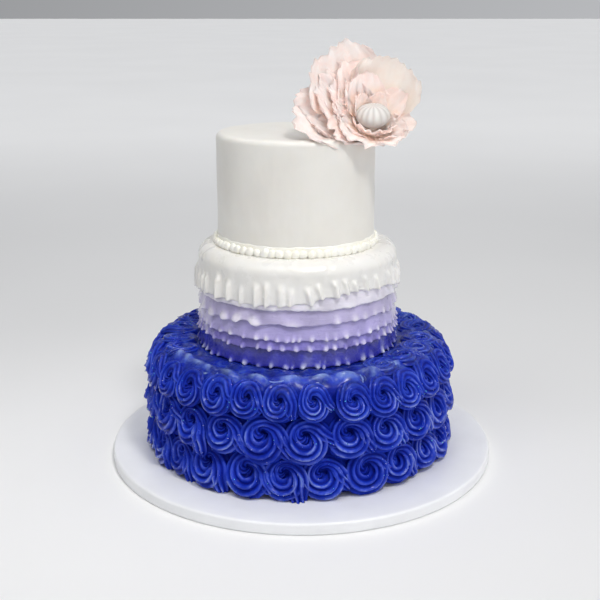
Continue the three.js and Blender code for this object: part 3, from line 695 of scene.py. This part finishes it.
# ---------------------------------------------------------------- the white sheet over the middle tier
a = turn(840)
HEM = np.array([[-180, 189], [-150, 191], [-120, 187], [-100, 183], [-90, 182.5], [-78, 186], [-70, 188.5], [-58, 189], [-50, 189], [-40, 190], [-31, 188.5],
                [-22, 188.5], [-14, 189.5], [-6, 190], [1.5, 191.5], [8, 191.5], [12, 196.5], [20, 196.8], [25.5, 199], [35, 200.5], [42, 198.5],
                [50, 197.5], [61, 197], [75, 192], [90, 187], [110, 188], [140, 192], [160, 190], [180, 189]])
deg = (np.degrees(a) + 180) % 360 - 180
hem_z = np.interp(deg, HEM[:, 0], HEM[:, 1])
FRONT = [(-72, 1.2, 1.9), (-65, 1.3, 2.3), (-60.3, 1.1, 1.9), (-48.8, 1.6, 2.7), (-40.2, 1.4, 2.5), (-31.9, 1.3, 1.9), (-22.5, 1.4, 2.3), (-16.6, 1.3, 2.5), (-8.7, 1.8, 1.9),
         (-3.6, 1.6, 1.9), (5.9, 1.4, 2.4), (11.5, 1.2, 2.2), (20.8, 1.4, 2.6), (26.8, 1.2, 2.2), (32.6, 1.3, 2.0), (40.2, 1.2, 1.8), (48.8, 1.3, 1.9), (61.5, 1.4, 2.2)]
g = np.random.default_rng(51)
at_ = 68.0
while at_ < 282:
    FRONT.append((at_, g.uniform(1.1, 1.7), g.uniform(1.6, 2.7)))
    at_ += g.uniform(5.0, 9.5)
FOOT = SHEET_TOP - 14  # where the rounded shoulder ends
shoulder = [(89 + 14 * math.cos(t), FOOT + 14 * math.sin(t)) for t in np.linspace(PI / 2, 0, 12)]
top_r = [72.0, 78.0, 84.0]
n_wall = 22
v = np.linspace(0, 1, n_wall)
wall_v = np.concatenate([np.zeros(len(top_r) + len(shoulder) - 1), v])  # 0 at the shoulder's foot, 1 at the hem
base_r = np.array(top_r + [p[0] for p in shoulder[:-1]] + [0.0] * n_wall)
base_z = np.array([SHEET_TOP] * 3 + [p[1] for p in shoulder[:-1]] + [0.0] * n_wall)
R_ = np.repeat(base_r[None, :], len(a), 0)
Z_ = np.repeat(base_z[None, :], len(a), 0)
first = len(top_r) + len(shoulder) - 1
zz = FOOT + (hem_z[:, None] - FOOT) * v[None, :]
R_[:, first:] = 103.0 + 1.9 * smooth(FOOT, 194, zz)
Z_[:, first:] = zz
A2 = a[:, None] + 0 * R_
pleat = np.zeros_like(R_)
gg = np.random.default_rng(52)
for p, w_, hgt in FRONT:
    lean = 0.0 if p < 0 else (3.4 if p in (5.9, 11.5) else 2.2)
    if p > 66:
        lean = gg.uniform(-1.5, 2.0)
    start = gg.uniform(0.1, 0.32)
    middle_of = p + lean * (wall_v - 0.55)
    d = (np.degrees(A2) - middle_of[None, :] + 180) % 360 - 180
    width_ = w_ * (1.35 - 0.35 * wall_v[None, :])
    rise = smooth(start, start + 0.34, wall_v)[None, :]
    pleat = np.maximum(pleat, 1.65 * hgt * rise * np.exp(-(np.abs(d / width_) ** 2.4)))
grow = smooth(0.05, 0.6, wall_v)[None, :]
R_ = R_ + pleat - 1.0 * grow + 0.5 * grow * round_wobble(a, 53, 7, 22)[:, None]
crease = 0.7 * (0.45 + 0.55 * np.exp(-(((deg - 5) / 15) ** 2)))[:, None] * np.exp(-(((Z_ - FOOT - 4) / 3.4) ** 2))
R_ = R_ + crease + 0.35 * wobble(np.sin(A2) * 4, Z_ / 60 + np.cos(A2) * 4, 54, 2)
Z_ = Z_ + 0.25 * wobble(np.sin(A2) * 3, np.cos(A2) * 3 + R_ / 50, 55, 2) * (R_ > 82)
Z_[:, first:] += (-0.6 * pleat[:, first:] / 2.2 + 0.3 * round_wobble(a, 56, 60, 140)[:, None]) * smooth(0.7, 1.0, v)[None, :]
hem_r, hem_zz = R_[:, -1:], Z_[:, -1:]
inner_r = np.hstack([hem_r - 0.5, hem_r - 1.2, hem_r - 1.7, np.maximum(hem_r - 1.7 - 0.3 * pleat[:, -1:], 102.9), 0 * hem_r + 102.2, 0 * hem_r + 101.2, 0 * hem_r + 99.2, 0 * hem_r + 91, 0 * hem_r + 72])
inner_z = np.hstack([hem_zz - 0.35, hem_zz - 0.25, hem_zz + 0.4, hem_zz + 2.2, 0 * hem_zz + 206, 0 * hem_zz + 215, 0 * hem_zz + 223, 0 * hem_zz + 227.4, 0 * hem_zz + 227.4])
sheet_obj = ring_mesh("draped_sheet", np.hstack([R_, inner_r]), np.hstack([Z_, inner_z]), a, MID_X)
finish_piece(sheet_obj, "white_fondant", "white_sheet", look=sheet_icing())

# ---------------------------------------------------------------- top tier
a = turn(240)
heights = np.concatenate([[SHEET_TOP, SHEET_TOP], np.linspace(SHEET_TOP + 1, TOP_Z - TOP_FILLET, 40)])
fil = np.linspace(0, PI / 2, 10)[1:]
radii = np.concatenate([[40.0, TOP_R], np.full(40, TOP_R), TOP_R - TOP_FILLET + TOP_FILLET * np.cos(fil), [70, 60, 45, 28, 12]])
zz = np.concatenate([heights, TOP_Z - TOP_FILLET + TOP_FILLET * np.sin(fil), [TOP_Z] * 5])
r = np.repeat(radii[None, :], 240, 0)
z = np.repeat(zz[None, :], 240, 0)
A2 = a[:, None] + 0 * r
uneven = 0.28 * wobble(np.sin(A2) * 2.2, z / 70 + np.cos(A2) * 2.2, 61, 3)
r = r + uneven * (r > 70)
z = z + 0.3 * wobble(r * np.sin(A2) / 60, r * np.cos(A2) / 60, 62, 3) * (z > 341)
finish_piece(lathe_mesh("top_tier_fondant", r, z, a, TOP_X), "white_fondant", "top_tier")

# ---------------------------------------------------------------- piped beads and the narrow band over them
g = np.random.default_rng(71)
parts = []
nu, nv = 16, 10
for i in range(BEADS):
    ca = (i + 0.12 * g.uniform(-1, 1)) / BEADS * 2 * PI
    size = g.uniform(0.9, 1.08)
    tang, out, up = 4.9 * size, 2.9 * size, 4.5 * size * g.uniform(0.9, 1.08)
    lean = g.uniform(-0.25, 0.25)
    th = np.linspace(0, PI, nv + 1)[1:-1]
    ph = turn(nu)
    T_, Q_ = np.meshgrid(ph, th, indexing="ij")
    x = tang * np.sin(Q_) * np.cos(T_)
    y = out * np.sin(Q_) * np.sin(T_)
    zc = up * np.cos(Q_)
    # a piped bead is fuller at its foot and drawn in at its crown
    full = 1 - 0.16 * zc / up
    x, y = x * full + lean * zc, y * full
    poles = np.array([[-lean * up, 0, -up], [lean * up, 0, up]])
    loc = np.vstack([np.stack([x, y, zc], -1).reshape(-1, 3), poles])
    rr = 83.2 + g.uniform(-0.2, 0.2) + loc[:, 1]
    aa = ca + loc[:, 0] / 83
    world = np.stack([rr * np.sin(aa) + TOP_X, -rr * np.cos(aa), SHEET_TOP + 3.8 * size + loc[:, 2]], 1)
    m = nv - 1
    k = np.arange(nu)
    k1 = (k + 1) % nu
    south, north = nu * m + 1, nu * m
    # ring 0 is nearest the crown
    tris = np.vstack([np.stack([np.full(nu, south), k * m, k1 * m], 1), np.stack([np.full(nu, north), k1 * m + m - 1, k * m + m - 1], 1)])
    quads = sheet_faces(nu, m, True, False)[:, ::-1]
    parts.append((world, quads, tris, {}))
verts, quads, tris, _ = joined(parts)
finish_piece(make("bead_ring", verts, quads, tris), "ivory_icing", "bead_border")

a = turn(360)
prof = np.array([(80.0, -0.3), (82.2, -0.3), (82.0, 2), (81.7, 5), (81.5, 8), (81.3, 9.4), (80.9, 10.2), (80.0, 10.4)]) + [0, SHEET_TOP]
r = np.repeat(prof[None, :, 0], 360, 0)
z = np.repeat(prof[None, :, 1], 360, 0)
wave = round_wobble(a, 72, 8, 40)[:, None]
r = r + 0.12 * wave * (r > 81)
z = z + 0.35 * round_wobble(a, 73, 6, 30)[:, None] * (z > SHEET_TOP + 7)
finish_piece(ring_mesh("bead_band", r, z, a, TOP_X), "ivory_icing", "bead_border")

# ---------------------------------------------------------------- the sugar peony
STAND = np.array(Matrix.Translation(FLOWER_AT) @ Matrix.Rotation(math.radians(FLOWER_YAW), 4, "Z") @ Matrix.Rotation(math.radians(FLOWER_LEAN), 4, "X"))


def on_stand(p):
    return p @ STAND[:3, :3].T + STAND[:3, 3]


PETALS = [
    # name, az, L, W, open0, open1, cup, r0, z0, frill, extra ruffle, ivory
    ("petal_small_left", 128, 31, 24, 40, 14, 1.0, 8.5, -2, 0.5, 1.0, 0.0),
    ("petal_small_right", 64, 30, 24, 42, 12, 1.0, 8.5, -2.5, 0.5, 1.0, 0.0),
    ("petal_inner_back", 102, 48, 46, 46, 34, 0.8, 8, -4, 1.2, 2.0, 0.0),
    ("petal_inner_left", 168, 42, 38, 54, 50, 0.8, 8, -6.5, 1.0, 2.2, 0.0),
    ("petal_inner_right", 32, 44, 34, 54, 36, 0.8, 8, -6, 1.0, 1.5, 0.1),
    ("petal_left", 150, 66, 56, 60, 50, 0.7, 8, -9.5, 1.8, 2.4, 0.0),
    ("petal_back_right", 60, 68, 74, 58, 24, 0.9, 8, -9.5, 2.2, 1.7, 0.6),
    ("petal_front_right", 304, 40, 46, 60, 44, 0.6, 8, -4, 1.2, 1.9, 0.15),
    ("petal_back_left", 127, 84, 90, 64, 38, 0.6, 8, -13, 2.2, 2.2, 0.1),
    ("petal_right", 348, 40, 44, 72, 50, 0.8, 8, -8, 1.2, 1.8, 0.2),
    ("petal_front_left", 227, 48, 54, 57, 48, 0.6, 8, -3, 1.4, 2.2, 0.1),
    ("petal_far_left", 184, 84, 68, 68, 58, 0.7, 8, -14, 1.8, 2.0, 0.0),
]
# short ruffles that fill the flower between the petals, each one part of the petal it is stuck to
RUFFLES = {
    "petal_left": [(139, 54, 42, 56, 52, 0.8, 8, -7.5, 1.6, 2.6, 0.0)],
    "petal_back_left": [(112, 64, 50, 56, 42, 0.7, 8, -8, 1.8, 2.4, 0.0), (134, 74, 56, 62, 52, 0.7, 8, -10.5, 1.8, 2.4, 0.05)],
    "petal_far_left": [(194, 58, 48, 68, 64, 0.7, 8, -11, 1.6, 2.6, 0.0), (177, 71, 52, 67, 59, 0.7, 8, -12.4, 1.6, 2.4, 0.0)],
    "petal_front_left": [(208, 55, 46, 60, 54, 0.6, 8, -5.5, 1.6, 2.6, 0.0), (238, 29, 34, 46, 16, 1.0, 8.5, -4, 0.8, 1.8, 0.0)],
    "petal_inner_back": [(124, 42, 34, 48, 40, 0.9, 8.5, -3.5, 1.3, 2.2, 0.0)],
    "petal_inner_left": [(196, 35, 36, 54, 44, 0.9, 8.5, -5.5, 1.2, 2.2, 0.0)],
    "petal_front_right": [(322, 36, 34, 58, 40, 0.7, 8, -4, 1.4, 2.2, 0.1), (276, 27, 36, 46, 14, 1.0, 8.5, -4, 0.8, 1.8, 0.05)],
    "petal_right": [(318, 28, 32, 48, 18, 1.0, 8.5, -4, 0.8, 1.8, 0.1)],
}


def petal(k, az, L, W, open0, open1, cup_, r0, z0, frill_, ruffle, ivory_):
    big = L > 60 and k < 20
    nu, nw = (40, 56) if big else (30, 40)
    g = np.random.default_rng(300 + k)
    p = g.uniform(0, 2 * PI, 12)
    u = np.linspace(0, 1, nu) ** 0.9
    w = np.linspace(-1, 1, nw)
    U, Wd = np.meshgrid(u, w, indexing="ij")
    o0, bend = rad(open0), rad(open1 - open0 if abs(open1 - open0) > 1 else 1)
    # the lip is torn and thinned unevenly
    ragged = 0.02 * np.sin(7 * Wd + p[0]) + 0.011 * np.sin(16 * Wd + p[1]) + 0.013 * np.sin(33 * Wd + p[2])
    Ue = U * (1 + ragged * (0.5 + 0.5 * ruffle) * U**3)
    sides = 1 + 0.03 * np.sin(7 * U + p[3]) + 0.02 * np.sin(19 * U + p[4])
    along = Ue * (1 - (0.22 if big else 0.52) * Wd * Wd * Ue)
    d = o0 + bend * along
    reach = (np.cos(o0) - np.cos(d)) / bend
    rise = (np.sin(d) - np.sin(o0)) / bend
    half = (W / 2) * mix(0.2, 1, np.clip(np.sin(rad(118) * np.clip(Ue, 0, 1)), 0, 1) ** 0.9)
    x = half * np.sin(Wd * rad(78)) / math.sin(rad(78)) * mix(1, sides, Wd * Wd)
    nr, nz = -np.cos(d), np.sin(d)
    cup = cup_ * x * x / W * mix(0.6, 1, U)
    edge = np.clip(np.maximum(U**3, np.abs(Wd) ** 4 * U), 0, 1)
    frill = frill_ * edge * np.sin(Wd * 7.5 + k * 1.7 + U * 2)
    edge2 = np.clip(np.maximum(U**3.5, 0.6 * np.abs(Wd) ** 5 * U), 0, 1) * (1 - 0.45 * np.abs(Wd) ** 6)
    small = ruffle * edge2 * (0.75 * np.sin(Wd * 13 + p[5] + U * 3) + 0.34 * np.sin(Wd * 25 + p[6] - 4 * U) + 0.13 * np.sin(Wd * 41 + p[11]))
    crinkle = 0.28 * ruffle * smooth(0.15, 0.8, U) * (np.sin(Wd * 12 + p[7] + 2 * U) + 0.7 * np.sin(Wd * 23 + p[8] + 5 * U) * np.sin(7 * U + p[9]))
    thick = mix(1.6, 1.0, edge2)
    out = []
    for side in (1, -1):
        off = cup + frill + small + crinkle + side * thick / 2
        r = r0 + L * reach + nr * off
        z = z0 + L * rise + nz * off
        t = rad(az)
        out.append(np.stack([r * math.cos(t) - x * math.sin(t), r * math.sin(t) + x * math.cos(t), z], -1))
    pts = on_stand(np.vstack([o.reshape(-1, 3) for o in out]))
    n = nu * nw
    quads = [sheet_faces(nu, nw, False, False), sheet_faces(nu, nw, False, False, n)[:, ::-1]]
    border = [j for j in range(nw)] + [i * nw + nw - 1 for i in range(1, nu)] + [(nu - 1) * nw + j for j in range(nw - 2, -1, -1)] + [i * nw for i in range(nu - 2, 0, -1)]
    b = np.array(border)
    b1 = np.roll(b, -1)
    quads.append(np.stack([b1, b, b + n, b1 + n], 1))
    # the tint follows the petal's own colour along its length, and the extra lift at the lip is a painted highlight
    tint = np.clip(0.15 + 0.85 * smooth(0.1, 0.85, U) + 0.1 * np.sin(5 * Wd + p[10]) + 0.2 * edge2, 0, 1)
    vein = 0.5 + 0.5 * np.sin(Wd * 60 + 3 * np.sin(4 * U + p[11]))
    at = {"tint": np.tile(tint.ravel(), 2), "vein": np.tile(vein.ravel(), 2), "ivory": np.full(2 * n, ivory_) * np.tile(smooth(0.2, 0.6, U).ravel(), 2)}
    return pts, np.vstack(quads), at


for k, (name, *rest) in enumerate(PETALS):
    layers = [petal(k, *rest)] + [petal(20 + 5 * k + i, *more) for i, more in enumerate(RUFFLES.get(name, []))]
    verts, quads, _, at = joined([(v_, q_, (), at_) for v_, q_, at_ in layers])
    finish_piece(make("sugar_" + name, verts, quads, (), at), "blush_sugar", name)

# the bud: a fluted pearl ball whose flutes run up and down
nc, nr = 160, 40
ph = turn(nc)
th = np.linspace(0.04, PI - 0.04, nr)
PH, TH = np.meshgrid(ph, th, indexing="ij")
ribs = 14
fl = np.abs(np.cos(ribs * PH / 2 + 0.3 * np.sin(3 * PH))) ** 0.6
depth_ = 0.9 * np.sin(TH) * smooth(PI * 0.75, PI * 0.3, TH)
rr = 16.8 - depth_ * (1 - fl)
x, y, z = rr * np.sin(TH) * np.cos(PH), rr * np.sin(TH) * np.sin(PH), 11.8 * np.cos(TH)
z = z - 2.2 * np.exp(-((np.sin(TH) / 0.4) ** 2)) * (z > 0)
pts = np.stack([x, y, z], -1).reshape(-1, 3)
pts = np.vstack([pts, [[0, 0, z[:, 0].mean()], [0, 0, z[:, -1].mean()]]])
centre = on_stand(np.array([[0, 0, 14.2]]))[0]
tilt = np.array(Matrix.Rotation(math.radians(14), 3, "X"))
pts = pts @ tilt.T + centre
i = np.arange(nc)
j = (i + 1) % nc
low = nc * nr
tris = np.vstack([np.stack([np.full(nc, low), j * nr, i * nr], 1), np.stack([np.full(nc, low + 1), i * nr + nr - 1, j * nr + nr - 1], 1)])
# painted light for the pearl ramp: high along the flutes' ridges as a painted highlight, falling to painted shade in
# the furrows and towards the bud's underside
crest = np.append((fl * smooth(PI * 0.95, PI * 0.3, TH)).ravel(), [0.5, 0.2])
finish_piece(make("sugar_bud", pts, sheet_faces(nc, nr, True, False), tris, {"crest": crest}), "pearl_sugar", "flower_bud")

a = turn(48)
prof = [(7 * s_, -18 + 2 * s_ * s_) for s_ in (0.4, 0.8, 1.0)] + [(8.8, -13), (9.5, -9), (9.5, -4), (8.9, -1.2), (7.6, -0.1), (4, 0)]
r = np.repeat(np.array([p[0] for p in prof])[None, :], 48, 0)
z = np.repeat(np.array([p[1] for p in prof])[None, :], 48, 0)
foot = np.stack([r * np.sin(a)[:, None], -r * np.cos(a)[:, None], z], 2).reshape(-1, 3)
foot = np.vstack([foot, [[0, 0, -18], [0, 0, 0]]])
i = np.arange(48)
j = (i + 1) % 48
m = len(prof)
tris = np.vstack([np.stack([np.full(48, 48 * m), j * m, i * m], 1), np.stack([np.full(48, 48 * m + 1), i * m + m - 1, j * m + m - 1], 1)])
values = np.full(len(foot), 0.3)
finish_piece(make("sugar_foot", on_stand(foot), sheet_faces(48, m, True, False), tris, {"tint": values, "vein": values, "ivory": 0 * values}), "blush_sugar", "flower_foot")

# ---------------------------------------------------------------- floor and light
floor = make("floor", [(-20000, -20000, 0), (20000, -20000, 0), (20000, 20000, 0), (-20000, 20000, 0)], [(0, 1, 2, 3)])
k = Look("studio_floor", Specular_IOR_Level=0.2)
floor.data.materials.append(k.set(k.ramp(k.noise(1.5, 2), (0.3, srgb(236, 236, 236)), (0.7, srgb(239, 239, 239))), k.ramp(k.noise(3, 2), (0.3, 0.75), (0.7, 0.85))))


def area(name, place, target, size, power, color=(1, 1, 1)):
    light = bpy.data.lights.new(name, "AREA")
    light.shape = "DISK"
    light.size = size
    light.energy = power
    light.color = color
    obj = bpy.data.objects.new(name, light)
    obj.location = place
    obj.rotation_euler = (Vector(target) - Vector(place)).to_track_quat("-Z", "Y").to_euler()
    bpy.context.scene.collection.objects.link(obj)


area("key", (0.52, -1.02, 2.0), (0, 0, 0.2), 0.4, 18.2, (1.0, 0.985, 0.96))
area("fill", (-1.0, -0.8, 1.7), (0, 0, 0.15), 1.0, 4.8)
area("top", (-0.05, 0.3, 1.9), (0, 0, 0.2), 0.42, 3.6)

area("side", (0.95, -1.15, 0.55), (0, 0, 0.25), 0.6, 1.4)
area("backdrop", (0, 16.6, 3), (0, 16.6, 0), 30, 950)
bpy.data.lights["backdrop"].spread = math.radians(60)


def beam(name, place, target, angle, power, soft):
    light = bpy.data.lights.new(name, "SPOT")
    light.energy = power
    light.spot_size = math.radians(angle)
    light.spot_blend = 1.0
    light.shadow_soft_size = soft
    obj = bpy.data.objects.new(name, light)
    obj.location = place
    obj.rotation_euler = (Vector(target) - Vector(place)).to_track_quat("-Z", "Y").to_euler()
    bpy.context.scene.collection.objects.link(obj)
    return obj


flower_fill = beam("flower_fill", (-0.01, -1.2, 0.48), (0.058, -0.04, 0.376), 11, 28, 0.1)
# it lights the flower alone, so that the tier keeps the flower's soft shadow
flower = bpy.data.collections.new("flower")
for obj in bpy.data.objects:
    if obj.name.startswith("sugar_"):
        flower.objects.link(obj)
flower_fill.light_linking.receiver_collection = flower
beam("board_fill", (-0.55, -0.75, 1.7), (-0.17, -0.06, 0.03), 16, 60, 0.3)

world = bpy.data.worlds.new("studio")
bpy.context.scene.world = world
world.use_nodes = True
# a soft dome, a little brighter on the right
wt = world.node_tree
back = wt.nodes["Background"]
back.inputs["Color"].default_value = (0.95, 0.965, 1.0, 1)
split = wt.nodes.new("ShaderNodeSeparateXYZ")
wt.links.new(wt.nodes.new("ShaderNodeTexCoord").outputs["Generated"], split.inputs[0])
side = wt.nodes.new("ShaderNodeMapRange")
side.inputs["From Min"].default_value = -1.0
side.inputs["From Max"].default_value = 1.0
side.inputs["To Min"].default_value = 0.15
side.inputs["To Max"].default_value = 0.7
wt.links.new(split.outputs["X"], side.inputs["Value"])
wt.links.new(side.outputs["Result"], back.inputs["Strength"])

view = bpy.context.scene.view_settings
view.view_transform = "Standard"
view.look = "None"
view.exposure = 0.0
view.gamma = 1.0
